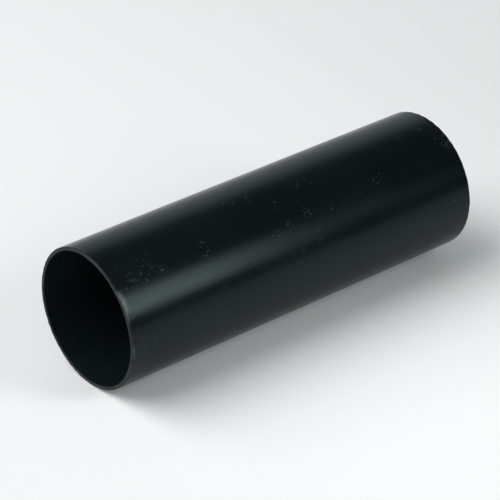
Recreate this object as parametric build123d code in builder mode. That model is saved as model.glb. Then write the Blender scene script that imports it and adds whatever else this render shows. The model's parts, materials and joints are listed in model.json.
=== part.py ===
from build123d import *
import os

# A cut length of round rainwater downpipe in rigid black PVC, lying on its side on a level floor.
#
# The pipe is one extrusion: a plain round wall of even thickness, open from end to end, with no
# socket, seam or rib.  Both ends are sawn square, and each cut has its sharp edges broken by a
# narrow chamfer, wider outside, where the end is pushed into a socket, than inside.
#
# The frame has its origin on the floor under the middle of the pipe, with +X along the pipe's
# axis and +Z up.  Every size is in millimetres.

# The pipe as it is sold, before it is cut.
outside_diameter = 68.0
wall_thickness = 1.8

# The length it is cut to, and the chamfers that break the edges of the two cuts.
cut_length = 204.0
outer_edge_chamfer = 0.4
inner_edge_chamfer = 0.25

outer_radius = outside_diameter / 2
bore_radius = outer_radius - wall_thickness

# Lying on the floor, the pipe's axis is one outer radius up.
axis_height = outer_radius
first_cut = Plane(
    origin=(-cut_length / 2, 0, axis_height), x_dir=(0, 1, 0), z_dir=(1, 0, 0)
)

with BuildPart() as downpipe:
    # The wall's section, drawn on the plane of the first cut and run out to the second.
    with BuildSketch(first_cut) as wall_section:
        Circle(outer_radius)
        Circle(bore_radius, mode=Mode.SUBTRACT)
    extrude(amount=cut_length)

    # Each sawn end is a flat ring with one edge on the bore and one on the outside.
    sawn_ends = downpipe.faces().filter_by(GeomType.PLANE)
    inner_edges, outer_edges = (
        sawn_ends.edges().filter_by(GeomType.CIRCLE).group_by(SortBy.RADIUS)
    )
    chamfer(outer_edges, outer_edge_chamfer)
    chamfer(inner_edges, inner_edge_chamfer)

downpipe.part.label = "downpipe"

os.makedirs("parts", exist_ok=True)
export_step(downpipe.part, "parts/downpipe.step")
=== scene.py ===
import json
import math

import bpy
import numpy as np
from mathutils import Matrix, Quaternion, Vector


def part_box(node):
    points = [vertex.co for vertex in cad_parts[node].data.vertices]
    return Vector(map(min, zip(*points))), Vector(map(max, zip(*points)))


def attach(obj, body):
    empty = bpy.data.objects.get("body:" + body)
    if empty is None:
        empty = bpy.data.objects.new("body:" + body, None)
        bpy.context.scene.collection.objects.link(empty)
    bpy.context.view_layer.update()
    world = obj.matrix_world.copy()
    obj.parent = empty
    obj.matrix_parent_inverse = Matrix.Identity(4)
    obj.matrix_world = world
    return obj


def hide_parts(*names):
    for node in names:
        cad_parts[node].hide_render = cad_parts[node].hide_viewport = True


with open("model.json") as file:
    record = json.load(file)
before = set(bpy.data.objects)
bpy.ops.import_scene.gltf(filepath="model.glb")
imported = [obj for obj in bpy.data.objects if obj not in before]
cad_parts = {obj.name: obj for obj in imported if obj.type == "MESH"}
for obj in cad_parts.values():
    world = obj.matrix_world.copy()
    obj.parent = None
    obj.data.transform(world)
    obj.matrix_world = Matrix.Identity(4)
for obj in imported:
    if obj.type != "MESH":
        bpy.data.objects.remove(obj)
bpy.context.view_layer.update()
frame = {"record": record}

# A cut length of black rainwater downpipe, lying on a pale studio floor.
#
# One closed skin replaces the plain solid.  It keeps the solid's sizes, and adds what an extruded
# and sawn pipe has: faint die lines along it, a wall that is a few hundredths of a millimetre out
# of round, saw marks across both cut ends, and broken edges of uneven width.
#
# Lengths are in metres.  An angle round the girth is 0 at the top of the pipe, and grows towards
# its front, which faces -Y.

MM = 0.001

# Sizes of the solid, read from the frame.
low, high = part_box("downpipe")
half_length = (high.x - low.x) / 2
mounts = {mount["name"]: mount for mount in frame["record"]["mounts"]}
outer_radius = mounts["outside"]["dims"]["r_mm"] * MM
bore_radius = mounts["bore"]["dims"]["r_mm"] * MM
outer_chamfer = half_length - mounts["outside"]["dims"]["length_mm"] * MM / 2
inner_chamfer = half_length - mounts["bore"]["dims"]["length_mm"] * MM / 2
axis_height = outer_radius

# How finely the skin is cut up: round the girth, along the outside and bore, and across a cut.
girth_steps = 800
outside_steps = 44
bore_steps = 26
cut_steps = 8


# Relief

random = np.random.default_rng(68)
angles = np.linspace(0, math.tau, girth_steps, endpoint=False)


def bumps(count, narrowest, widest, height):
    """Single soft bumps at random places round the girth, each as high as a draw from height()."""
    offsets = np.zeros(girth_steps)
    for _ in range(count):
        middle = random.uniform(0, math.tau)
        half_width = random.uniform(narrowest, widest) / outer_radius
        away = (angles - middle + math.pi) % math.tau - math.pi
        offsets += height() * np.exp(-((away / half_width) ** 2))
    return offsets


def die_lines(count, deepest):
    """Fine ridges and grooves that the die leaves along the whole pipe, as offsets round the girth."""
    return bumps(count, 0.35 * MM, 1.5 * MM, lambda: random.normal(0, deepest))


def nicks(count, deepest):
    """Small knocks in an edge, as extra width round the girth."""
    return bumps(count, 0.5 * MM, 1.3 * MM, lambda: random.uniform(0.3, 1.0) * deepest)


def lobes(heights):
    """The lobes of one face of the wall: how many, how high, and how they drift along the pipe."""
    return [
        (
            number,
            height,
            random.uniform(25, 60) * MM,
            random.uniform(0, math.tau),
            random.uniform(0, math.tau),
        )
        for number, height in heights
    ]


def out_of_round(x, lobe_list):
    """Slow unevenness of the wall, as offsets round the girth at one station along the pipe."""
    swing = 0.6  # How far, in radians of its own wave, a set of lobes turns to and fro.
    offsets = np.zeros(girth_steps)
    for number, height, wave, turn, start in lobe_list:
        offsets += height * np.cos(number * angles + turn + swing * np.sin(x / wave + start))
    return offsets


def rough_line(shortest, longest, count):
    """A random line with an rms of 1: a function of distance, made of waves between two lengths."""
    waves = [
        (math.tau / random.uniform(shortest, longest), random.uniform(0, math.tau))
        for _ in range(count)
    ]
    return lambda d: sum(np.sin(k * d + p) for k, p in waves) / math.sqrt(count / 2)


def uneven_girth():
    """A random line round the girth with an rms of 1, made of waves that close on themselves."""
    fewest, most, count = 5, 60, 14
    waves = random.integers(fewest, most, size=count)
    starts = random.uniform(0, math.tau, size=count)
    return sum(np.sin(k * angles + start) for k, start in zip(waves, starts)) / math.sqrt(count / 2)


outside_lines = die_lines(90, 0.0012 * MM)
bore_lines = die_lines(60, 0.003 * MM)
outside_lobes = lobes([(2, 0.030 * MM), (3, 0.012 * MM), (5, 0.005 * MM), (9, 0.0015 * MM)])
bore_lobes = lobes([(2, 0.030 * MM), (4, 0.015 * MM), (7, 0.004 * MM)])


class Cut:
    """One sawn end: its saw marks and the uneven width of its two broken edges.
    The marks are arcs about the blade's centre, which lies at an angle from +Y up towards +Z."""

    blade_radius = 150 * MM
    depth = 0.007 * MM

    def __init__(self, blade_angle):
        self.blade_y = self.blade_radius * math.cos(blade_angle)
        self.blade_z = self.blade_radius * math.sin(blade_angle)
        self.marks = rough_line(0.7 * MM, 2.6 * MM, 20)
        self.outer_width = outer_chamfer * (1 + 0.12 * uneven_girth()) + nicks(9, 0.2 * MM)
        self.inner_width = inner_chamfer * (1 + 0.16 * uneven_girth()) + nicks(7, 0.2 * MM)

    def sink(self, y, z):
        """How deep the saw has bitten at a point of the cut, as an array over points."""
        return self.depth * self.marks(np.hypot(y - self.blade_y, z - self.blade_z))


first_cut, second_cut = Cut(math.radians(70)), Cut(math.radians(110))


# The skin

OUTSIDE, BORE, SAWN = 0, 1, 2
rings, zones = [], []


def add_ring(x, radius, zone):
    """Adds one ring of points about the axis, with x and radius per point or the same for all."""
    x = np.broadcast_to(np.asarray(x, float), girth_steps)
    radius = np.broadcast_to(np.asarray(radius, float), girth_steps)
    y, z = -radius * np.sin(angles), axis_height + radius * np.cos(angles)
    rings.append(np.column_stack([x, y, z]))
    zones.append(zone)


def wall(radius, lines, lobe_list, edge_widths, steps, direction, zone):
    """Rings along one face of the wall, from one end's broken edge to the other's.
    Close to an edge they follow its uneven width, and clear of it they are evenly spaced."""
    first, second = (half_length - width for width in edge_widths)
    near_edge = [0.0, 0.06 * MM, 0.4 * MM, 1.5 * MM]
    clear = 4 * MM
    middle = np.linspace(clear - half_length, half_length - clear, steps - 2 * len(near_edge))
    stations = [step - first for step in near_edge] + list(middle)
    stations += [second - step for step in reversed(near_edge)]
    for x in stations[::direction]:
        add_ring(x, radius + lines + out_of_round(x, lobe_list), zone)


def sawn_end(cut, side):
    """Rings over one cut: the outer broken edge, the sawn ring and the inner broken edge.
    A share is 0 where a broken edge leaves the wall and 1 where it meets the sawn ring.  Across
    the sawn ring it is 0 outside and 1 inside."""
    end = side * half_length
    outside = outer_radius + outside_lines + out_of_round(end, outside_lobes)
    inside = bore_radius + bore_lines + out_of_round(end, bore_lobes)
    outer, inner = cut.outer_width, cut.inner_width
    early, halfway, late = 0.12, 0.5, 0.88
    flat_shares = np.concatenate([[0, 0.03], np.linspace(early, late, cut_steps - 4), [0.97, 1]])
    rows = []
    for share, zone in ((early, OUTSIDE), (halfway, OUTSIDE), (late, SAWN)):
        rows.append((end - side * outer * (1 - share), outside - outer * share, zone))
    for share in flat_shares:
        radius = (outside - outer) * (1 - share) + (inside + inner) * share
        sink = cut.sink(-radius * np.sin(angles), radius * np.cos(angles))
        rows.append((end - side * sink, radius, SAWN))
    for share in (late, halfway, early):
        rows.append((end - side * inner * (1 - share), inside + inner * share, SAWN))
    return rows


outer_widths = (first_cut.outer_width, second_cut.outer_width)
inner_widths = (first_cut.inner_width, second_cut.inner_width)
wall(outer_radius, outside_lines, outside_lobes, outer_widths, outside_steps, -1, OUTSIDE)
for row in sawn_end(first_cut, -1):
    add_ring(*row)
wall(bore_radius, bore_lines, bore_lobes, inner_widths, bore_steps, 1, BORE)
for row in reversed(sawn_end(second_cut, 1)):
    add_ring(*row)

points = np.concatenate(rings)
faces, face_zones = [], []
for ring in range(len(rings)):
    following = (ring + 1) % len(rings)
    zone = SAWN if SAWN in (zones[ring], zones[following]) else zones[ring]
    for step in range(girth_steps):
        beside = (step + 1) % girth_steps
        a, b = ring * girth_steps, following * girth_steps
        faces.append((a + step, a + beside, b + beside, b + step))
        face_zones.append(zone)

mesh = bpy.data.meshes.new("pipe_wall")
mesh.from_pydata(points.tolist(), [], faces)
mesh.polygons.foreach_set("material_index", face_zones)
mesh.polygons.foreach_set("use_smooth", [True] * len(faces))
mesh.update()
pipe = bpy.data.objects.new("pipe_wall", mesh)
bpy.context.scene.collection.objects.link(pipe)


# Materials


class Nodes:
    """A short way to add and join the nodes of one material or world."""

    def __init__(self, tree):
        self.tree = tree
        tree.nodes.clear()

    def add(self, kind, **settings):
        node = self.tree.nodes.new(kind)
        for name, value in settings.items():
            setattr(node, name, value)
        return node

    def join(self, source, target):
        self.tree.links.new(source, target)

    def math(self, operation, first, second=0.0):
        node = self.add("ShaderNodeMath", operation=operation)
        for socket, value in zip(node.inputs, (first, second)):
            if isinstance(value, (int, float)):
                socket.default_value = value
            else:
                self.join(value, socket)
        return node.outputs[0]

    def plus(self, first, second):
        return self.math("ADD", first, second)

    def times(self, first, second):
        return self.math("MULTIPLY", first, second)

    def most(self, first, *others):
        """The largest of some values."""
        for other in others:
            first = self.math("MAXIMUM", first, other)
        return first

    def ramp(self, value, low, high, out_low=0.0, out_high=1.0):
        """A smooth step from out_low to out_high as the value goes from low to high."""
        node = self.add("ShaderNodeMapRange", interpolation_type="SMOOTHSTEP")
        self.join(value, node.inputs["Value"])
        settings = {"From Min": low, "From Max": high, "To Min": out_low, "To Max": out_high}
        for name, number in settings.items():
            node.inputs[name].default_value = number
        return node.outputs[0]

    def blend(self, share, first, second):
        """A colour between two, by a share."""
        node = self.add("ShaderNodeMix", data_type="RGBA")
        self.join(share, node.inputs["Factor"])
        first_colour, second_colour, result = node.inputs[6], node.inputs[7], node.outputs[2]
        for socket, value in ((first_colour, first), (second_colour, second)):
            if isinstance(value, tuple):
                socket.default_value = (*value, 1.0)
            else:
                self.join(value, socket)
        return result

    def bump(self, height, distance, before=None):
        """A normal that is tilted by a height, on top of the bumps before it."""
        node = self.add("ShaderNodeBump")
        node.inputs["Distance"].default_value = distance
        self.join(height, node.inputs["Height"])
        if before is not None:
            self.join(before, node.inputs["Normal"])
        return node.outputs[0]

    def place(self, scale=(1, 1, 1), askew=0.0):
        """The place on the object in metres, stretched along each axis.  Askew turns it first, by
        some degrees, about the line that looks square onto the upper front of the pipe."""
        place = self.add("ShaderNodeTexCoord").outputs["Object"]
        if askew:
            turned = self.add("ShaderNodeVectorRotate", rotation_type="AXIS_ANGLE")
            turned.inputs["Axis"].default_value = (0, -1, 1)
            turned.inputs["Angle"].default_value = math.radians(askew)
            self.join(place, turned.inputs["Vector"])
            place = turned.outputs[0]
        mapping = self.add("ShaderNodeMapping")
        mapping.inputs["Scale"].default_value = scale
        self.join(place, mapping.inputs["Vector"])
        return mapping.outputs[0]

    def along(self, axis):
        """The place along one axis, in metres."""
        split = self.add("ShaderNodeSeparateXYZ")
        self.join(self.place(), split.inputs[0])
        return split.outputs[axis]

    def noise(self, waves, detail=3.0, roughness=0.5):
        """Noise with so many waves a metre along x, y and z, from 0 to 1."""
        node = self.add("ShaderNodeTexNoise", noise_dimensions="3D")
        node.inputs["Scale"].default_value = 1.0
        node.inputs["Detail"].default_value = detail
        node.inputs["Roughness"].default_value = roughness
        self.join(self.place(waves), node.inputs["Vector"])
        return node.outputs["Fac"]

    def specks(self, cells, radius, share, where, askew=0.0):
        """Specks, or strokes where the cells are long: cells a metre along x, y and z, and the
        radius of the largest as a part of a cell.  A share of the cells has one, where it may."""
        node = self.add("ShaderNodeTexVoronoi")
        node.inputs["Scale"].default_value = 1.0
        self.join(self.place(cells, askew), node.inputs["Vector"])
        chance = self.add("ShaderNodeSeparateColor")
        self.join(node.outputs["Color"], chance.inputs[0])
        chosen = self.math("LESS_THAN", chance.outputs[0], self.times(where, share))
        size = self.times(chance.outputs[1], radius)
        return self.times(chosen, self.math("LESS_THAN", node.outputs["Distance"], size))

    def near(self, places, ragged):
        """How near the surface is to the nearest of some places, each with its reach: 1 to 0.
        The rims of the reaches wander by up to the ragged length, and twice that along the pipe."""
        wander = Vector((2, 1, 1)) * ragged
        drift = self.add("ShaderNodeTexNoise", noise_dimensions="3D")
        drift.inputs["Scale"].default_value = 1.0
        self.join(self.place((55, 95, 95)), drift.inputs["Vector"])
        # The drift is about a half, so the places are moved by as much as it adds on average.
        shift = self.add("ShaderNodeVectorMath", operation="MULTIPLY_ADD")
        self.join(drift.outputs["Color"], shift.inputs[0])
        shift.inputs[1].default_value = 2 * wander
        self.join(self.place(), shift.inputs[2])
        nearness = []
        for middle, reach in places:
            away = self.add("ShaderNodeVectorMath", operation="DISTANCE")
            self.join(shift.outputs[0], away.inputs[0])
            away.inputs[1].default_value = Vector(middle) + wander
            nearness.append(self.ramp(away.outputs["Value"], 0.15 * reach, reach, 1.0, 0.0))
        return self.most(*nearness)


def plastic(name, specular_level):
    """A black plastic, to be filled in: its material, nodes and shader."""
    material = bpy.data.materials.new(name)
    material.use_nodes = True
    nodes = Nodes(material.node_tree)
    shader = nodes.add("ShaderNodeBsdfPrincipled")
    nodes.join(shader.outputs[0], nodes.add("ShaderNodeOutputMaterial").inputs["Surface"])
    shader.inputs["IOR"].default_value = 1.5
    shader.inputs["Specular IOR Level"].default_value = specular_level
    shader.inputs["Specular Tint"].default_value = (0.75, 1.0, 0.98, 1.0)
    return material, nodes, shader


def on_wall(station, turn):
    """A point on the outside: millimetres from the middle, and degrees from the top to the front."""
    angle = math.radians(turn)
    return station * MM, -outer_radius * math.sin(angle), axis_height + outer_radius * math.cos(angle)


# Where the outside has been rubbed in handling: the middle of each mark, and how far it reaches.
rubs = [
    (on_wall(-102, 52), 15 * MM),
    (on_wall(-90, 43), 12 * MM),
    (on_wall(-76, 39), 10 * MM),
    (on_wall(-101, 92), 11 * MM),
    (on_wall(70, 120), 12 * MM),
    (on_wall(101, 27), 7 * MM),
    (on_wall(35, -75), 16 * MM),
    (on_wall(-60, -110), 12 * MM),
    (on_wall(101, -130), 12 * MM),
]

# Where the rims of the cuts are pale with fraying, and partly a painted highlight:
frays_and_painted_glint = [
    # the first lies on the light band at the first cut, and its pale rim paints the glint of the edge
    # there.
    (on_wall(-102, 52), 7 * MM),
    (on_wall(-102, -100), 6 * MM),
    (on_wall(102, -70), 7 * MM),
]

# Small knocks, each a few fine nicks close together.
knocks = [
    (on_wall(-52, 33), 4 * MM),
    (on_wall(-51, 42), 4 * MM),
    (on_wall(-24, 8), 4 * MM),
    (on_wall(-15, 12), 4 * MM),
    (on_wall(11, 19), 3 * MM),
    (on_wall(-13, 50), 4 * MM),
    (on_wall(-4, 47), 3 * MM),
    (on_wall(8, 42), 4 * MM),
    (on_wall(20, 47), 2 * MM),
    (on_wall(9, 61), 4 * MM),
    (on_wall(-2, 70), 3 * MM),
    (on_wall(40, 45), 2.5 * MM),
    (on_wall(52, 39), 4 * MM),
    (on_wall(78, 13), 3 * MM),
    (on_wall(91, 12), 3 * MM),
    (on_wall(-68, 88), 3 * MM),
    (on_wall(-49, 71), 3 * MM),
    (on_wall(-20, -64), 4 * MM),
    (on_wall(62, -120), 4 * MM),
]


def handling_marks(n):
    """The marks of handling on the outside, in four parts: the rubbed patches, which are broken up,
    the nicks and short straight scores in them and in the knocks, and the rims of the two cuts
    where they are worn and where they fray pale.  The pale fraying is partly a painted highlight,
    at the first cut's edge where it lies in the light band."""
    rubbed = n.near(rubs, ragged=9 * MM)
    knocked = n.near(knocks, ragged=0.8 * MM)
    broken = n.ramp(n.noise((180, 260, 260), detail=4, roughness=0.65), 0.36, 0.60)
    patches = n.times(rubbed, broken)

    scores = n.most(
        n.specks((900, 900, 900), 0.30, 0.55, patches),
        n.specks((1100, 1100, 1100), 0.34, 0.85, knocked),
    )
    strokes = [n.specks((190, 2300, 2300), 0.36, 0.26, rubbed, askew) for askew in (-44, -12, 27, 63)]
    strokes += [n.specks((330, 2300, 2300), 0.36, 0.45, knocked, askew) for askew in (-31, 48)]
    scores = n.most(scores, n.times(n.most(*strokes), 0.7))

    # The rims are worn in places, and most where they are rubbed.
    from_middle = n.math("ABSOLUTE", n.along("X"))
    uneven = n.plus(n.times(broken, 0.6), 0.4)
    rim = n.ramp(from_middle, half_length - 1.6 * MM, half_length - 0.5 * MM)
    chipped = n.ramp(n.noise((170, 230, 230), detail=4, roughness=0.7), 0.50, 0.70, 0.0, 0.35)
    worn = n.times(rim, n.most(chipped, n.times(n.ramp(rubbed, 0.2, 0.8), uneven)))
    wide_rim = n.ramp(from_middle, half_length - 3.6 * MM, half_length - 1.2 * MM)
    # Pale fraying on the rims; at the first cut, on the light band, it is a painted highlight of the
    # edge.
    frayed_and_painted_glint = n.times(n.times(wide_rim, n.near(frays_and_painted_glint, ragged=1.5 * MM)), uneven)
    return patches, scores, worn, frayed_and_painted_glint


def make_outside():
    """Satin extruded skin: faint streaks along the pipe, a cloudy sheen, dust, scratches and marks."""
    material, n, shader = plastic("pvc_outside", specular_level=0.17)
    clouds = n.noise((22, 45, 45), detail=4)
    grain = n.noise((700, 1100, 1100), detail=4, roughness=0.6)

    # Streaks come and go in groups.
    groups = n.ramp(n.noise((9, 75, 75), detail=2), 0.40, 0.70, 0.15, 1.0)
    streaks = n.math("SUBTRACT", n.noise((5, 600, 600), detail=4, roughness=0.6), 0.5)
    streaks = n.times(streaks, groups)

    # A few scratches run long and thin where the pipe has slid over something.
    slid = n.ramp(n.noise((28, 50, 50), detail=2), 0.42, 0.62)
    scratches = n.most(
        n.specks((16, 2300, 2300), 0.32, 0.07, slid, askew=0.8),
        n.specks((21, 2500, 2500), 0.30, 0.05, slid, askew=-2.6),
    )

    dusty = n.ramp(n.noise((40, 40, 40), detail=2), 0.45, 0.75, 0.25, 1.0)
    dust = n.specks((260, 260, 260), 0.085, 0.62, dusty)
    fibres = n.specks((60, 1900, 1900), 0.30, 0.004, dusty, askew=21)

    patches, scores, worn, frayed_and_painted_glint = handling_marks(n)
    proud = n.most(dust, fibres, scores)
    scuffed = n.most(proud, n.times(patches, 0.035))

    darkest, palest = (0.0028, 0.0050, 0.0049), (0.0040, 0.0066, 0.0065)
    # The fray colour is pale partly to paint the highlight of the first cut's edge in the light band.
    in_scratch, in_mark, in_fray_and_glint = (0.020, 0.026, 0.026), (0.048, 0.057, 0.057), (0.140, 0.155, 0.153)
    tone = n.plus(n.times(streaks, 0.8), clouds)
    colour = n.blend(n.ramp(tone, 0.32, 0.68), darkest, palest)
    colour = n.blend(n.times(scratches, 0.4), colour, in_scratch)
    colour = n.blend(n.most(scuffed, worn), colour, in_mark)
    n.join(n.blend(frayed_and_painted_glint, colour, in_fray_and_glint), shader.inputs["Base Color"])

    rough = n.ramp(clouds, 0.35, 0.65, 0.235, 0.265)
    for share, amount in ((streaks, 0.10), (patches, 0.03), (scuffed, 0.20)):
        rough = n.plus(rough, n.times(share, amount))
    n.join(rough, shader.inputs["Roughness"])

    relief = n.bump(streaks, 0.005 * MM)
    relief = n.bump(grain, 0.003 * MM, relief)
    relief = n.bump(n.math("SUBTRACT", 1.0, scratches), 0.004 * MM, relief)
    n.join(n.bump(proud, 0.02 * MM, relief), shader.inputs["Normal"])
    return material


def make_bore():
    """The inside, duller and a little dusty, with the same lines along it."""
    material, n, shader = plastic("pvc_bore", specular_level=0.12)
    darkest, palest, dusted = (0.0052, 0.0090, 0.0090), (0.0070, 0.0120, 0.0120), (0.030, 0.036, 0.036)
    streaks = n.noise((7, 700, 700), detail=4, roughness=0.6)
    clouds = n.noise((14, 60, 60), detail=3)
    dust = n.specks((240, 240, 240), 0.10, 0.60, n.ramp(clouds, 0.4, 0.7, 0.2, 1.0))
    colour = n.blend(n.ramp(clouds, 0.3, 0.7), darkest, palest)
    n.join(n.blend(dust, colour, dusted), shader.inputs["Base Color"])
    n.join(n.ramp(clouds, 0.3, 0.7, 0.38, 0.43), shader.inputs["Roughness"])
    n.join(n.bump(streaks, 0.006 * MM), shader.inputs["Normal"])
    return material


def make_sawn():
    """A sawn end: matt and grey, with torn lines, crumbs of swarf and an uneven tone."""
    material, n, shader = plastic("pvc_sawn", specular_level=0.2)
    darkest, palest, crumb = (0.0050, 0.0065, 0.0065), (0.023, 0.026, 0.026), (0.070, 0.078, 0.078)
    torn = n.noise((400, 900, 2600), detail=4, roughness=0.6)
    patches = n.noise((70, 70, 70), detail=3)
    tone = n.plus(n.times(torn, 0.5), n.times(patches, 0.5))
    swarf = n.specks((900, 900, 900), 0.22, 0.45, n.ramp(patches, 0.45, 0.65))
    colour = n.blend(n.ramp(tone, 0.40, 0.60), darkest, palest)
    n.join(n.blend(swarf, colour, crumb), shader.inputs["Base Color"])
    n.join(n.ramp(torn, 0.3, 0.7, 0.45, 0.62), shader.inputs["Roughness"])
    relief = n.bump(torn, 0.02 * MM)
    n.join(n.bump(n.noise((3000, 3000, 3000), detail=3), 0.01 * MM, relief), shader.inputs["Normal"])
    return material


# In the order of the zones.
for material in (make_outside(), make_bore(), make_sawn()):
    mesh.materials.append(material)

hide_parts("downpipe")
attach(pipe, "root")


# The studio


def matt_sheet(name, corners):
    """A flat matt sheet through four corners: its object, its nodes and its colour socket."""
    sheet_mesh = bpy.data.meshes.new(name)
    sheet_mesh.from_pydata(corners, [], [(0, 1, 2, 3)])
    sheet = bpy.data.objects.new(name, sheet_mesh)
    bpy.context.scene.collection.objects.link(sheet)
    material = bpy.data.materials.new("matt_" + name)
    material.use_nodes = True
    nodes = Nodes(material.node_tree)
    shader = nodes.add("ShaderNodeBsdfDiffuse")
    nodes.join(shader.outputs[0], nodes.add("ShaderNodeOutputMaterial").inputs["Surface"])
    sheet_mesh.materials.append(material)
    return sheet, nodes, shader.inputs["Color"]


# A plain pale floor.
floor_half = 6.0
corners = [(x * floor_half, y * floor_half, 0) for x, y in ((-1, -1), (1, -1), (1, 1), (-1, 1))]
floor, n, colour = matt_sheet("floor", corners)
colour.default_value = (0.93, 0.93, 0.93, 1)

# The room, by the height of the direction on a unit sphere: a pale cove all round, up to a dark
# ceiling, which is a little paler straight overhead.
cove, ceiling, overhead = (0.62, 0.70, 0.69), (0.038, 0.043, 0.043), (0.13, 0.145, 0.145)
cove_top, ceiling_from = math.sin(math.radians(32)), math.sin(math.radians(40))
overhead_from, overhead_full = 0.76, 0.92
world = bpy.data.worlds.new("studio")
world.use_nodes = True
bpy.context.scene.world = world
n = Nodes(world.node_tree)
split = n.add("ShaderNodeSeparateXYZ")
n.join(n.add("ShaderNodeTexCoord").outputs["Generated"], split.inputs[0])
rise = split.outputs["Z"]
above = n.blend(n.ramp(rise, overhead_from, overhead_full), ceiling, overhead)
background = n.add("ShaderNodeBackground")
n.join(n.blend(n.ramp(rise, cove_top, ceiling_from), cove, above), background.inputs["Color"])
n.join(background.outputs[0], n.add("ShaderNodeOutputWorld").inputs["Surface"])


def softbox(name, middle, aim, width, height, radiance, half_spread=90, roll=0):
    """A soft lamp turned towards a point; a grid of slats may narrow its half spread, in degrees."""
    light = bpy.data.lights.new(name, "AREA")
    light.shape = "RECTANGLE"
    light.size, light.size_y = width, height
    light.energy = radiance * math.pi * width * height
    if half_spread < 90:
        # The power is lowered with the spread, so that the radiance straight ahead stays.
        spread = math.radians(half_spread)
        light.spread = 2 * spread
        light.energy *= 1 - spread / math.tan(spread)
    lamp = bpy.data.objects.new(name, light)
    lamp.location = middle
    lamp.rotation_mode = "QUATERNION"
    facing = (Vector(aim) - Vector(middle)).to_track_quat("-Z", "Y")
    lamp.rotation_quaternion = facing @ Quaternion((0, 0, 1), math.radians(roll))
    bpy.context.scene.collection.objects.link(lamp)


# The main light stands high behind the first cut.  A smaller panel in front lays the light band.
softbox("key", middle=(-1.3, 0.9, 2.1), aim=(0, 0, 0.03), width=3.0, height=1.7, radiance=4.0)
softbox(
    "panel",
    middle=(0.165, -0.44, 0.30),
    aim=(-0.07, 0, 0.05),
    width=0.17,
    height=0.28,
    radiance=9.3,
    half_spread=35,
    roll=-12,
)

# A dark flag behind the panel, which only reflections see, is a painted dark reflection: it stands
# in for the pale cove where the wall mirrors it.  A paler strip crosses it as a painted paler band in
# those reflections, and fades in and out over these heights.
fade_in, fade_out = (0.14, 0.30), (0.34, 0.56)
dark_in_reflection, pale_in_reflection = (0.03, 0.03, 0.03), (0.30, 0.31, 0.31)
flag_left, flag_right, flag_y, flag_top = -0.1, 1.8, -0.64, 0.9
corners = [
    (flag_left, flag_y, 0.0),
    (flag_right, flag_y, 0.0),
    (flag_right, flag_y, flag_top),
    (flag_left, flag_y, flag_top),
]
flag, n, colour = matt_sheet("flag", corners)
height = n.along("Z")
# The paler band is painted into what the wall mirrors; it lights nothing.
mirrored_band = n.times(n.ramp(height, *fade_in), n.ramp(height, *fade_out, 1.0, 0.0))
n.join(n.blend(mirrored_band, dark_in_reflection, pale_in_reflection), colour)
flag.visible_camera = flag.visible_diffuse = flag.visible_shadow = False


# The camera

# It looks down on the front and the first cut, through a long lens.
camera_data = bpy.data.cameras.new("camera")
camera_data.sensor_width = 36.0
camera_data.lens = 181.40
camera_data.clip_start, camera_data.clip_end = 0.05, 50.0
camera = bpy.data.objects.new("camera", camera_data)
camera.location = (-0.6541, -0.7770, 0.6262)
look_at = Vector((-0.0050, 0.0027, 0.0321))
camera.rotation_mode = "QUATERNION"
camera.rotation_quaternion = (look_at - camera.location).to_track_quat("-Z", "Y")
bpy.context.scene.collection.objects.link(camera)
bpy.context.scene.camera = camera

bpy.context.scene.view_settings.view_transform = "Standard"
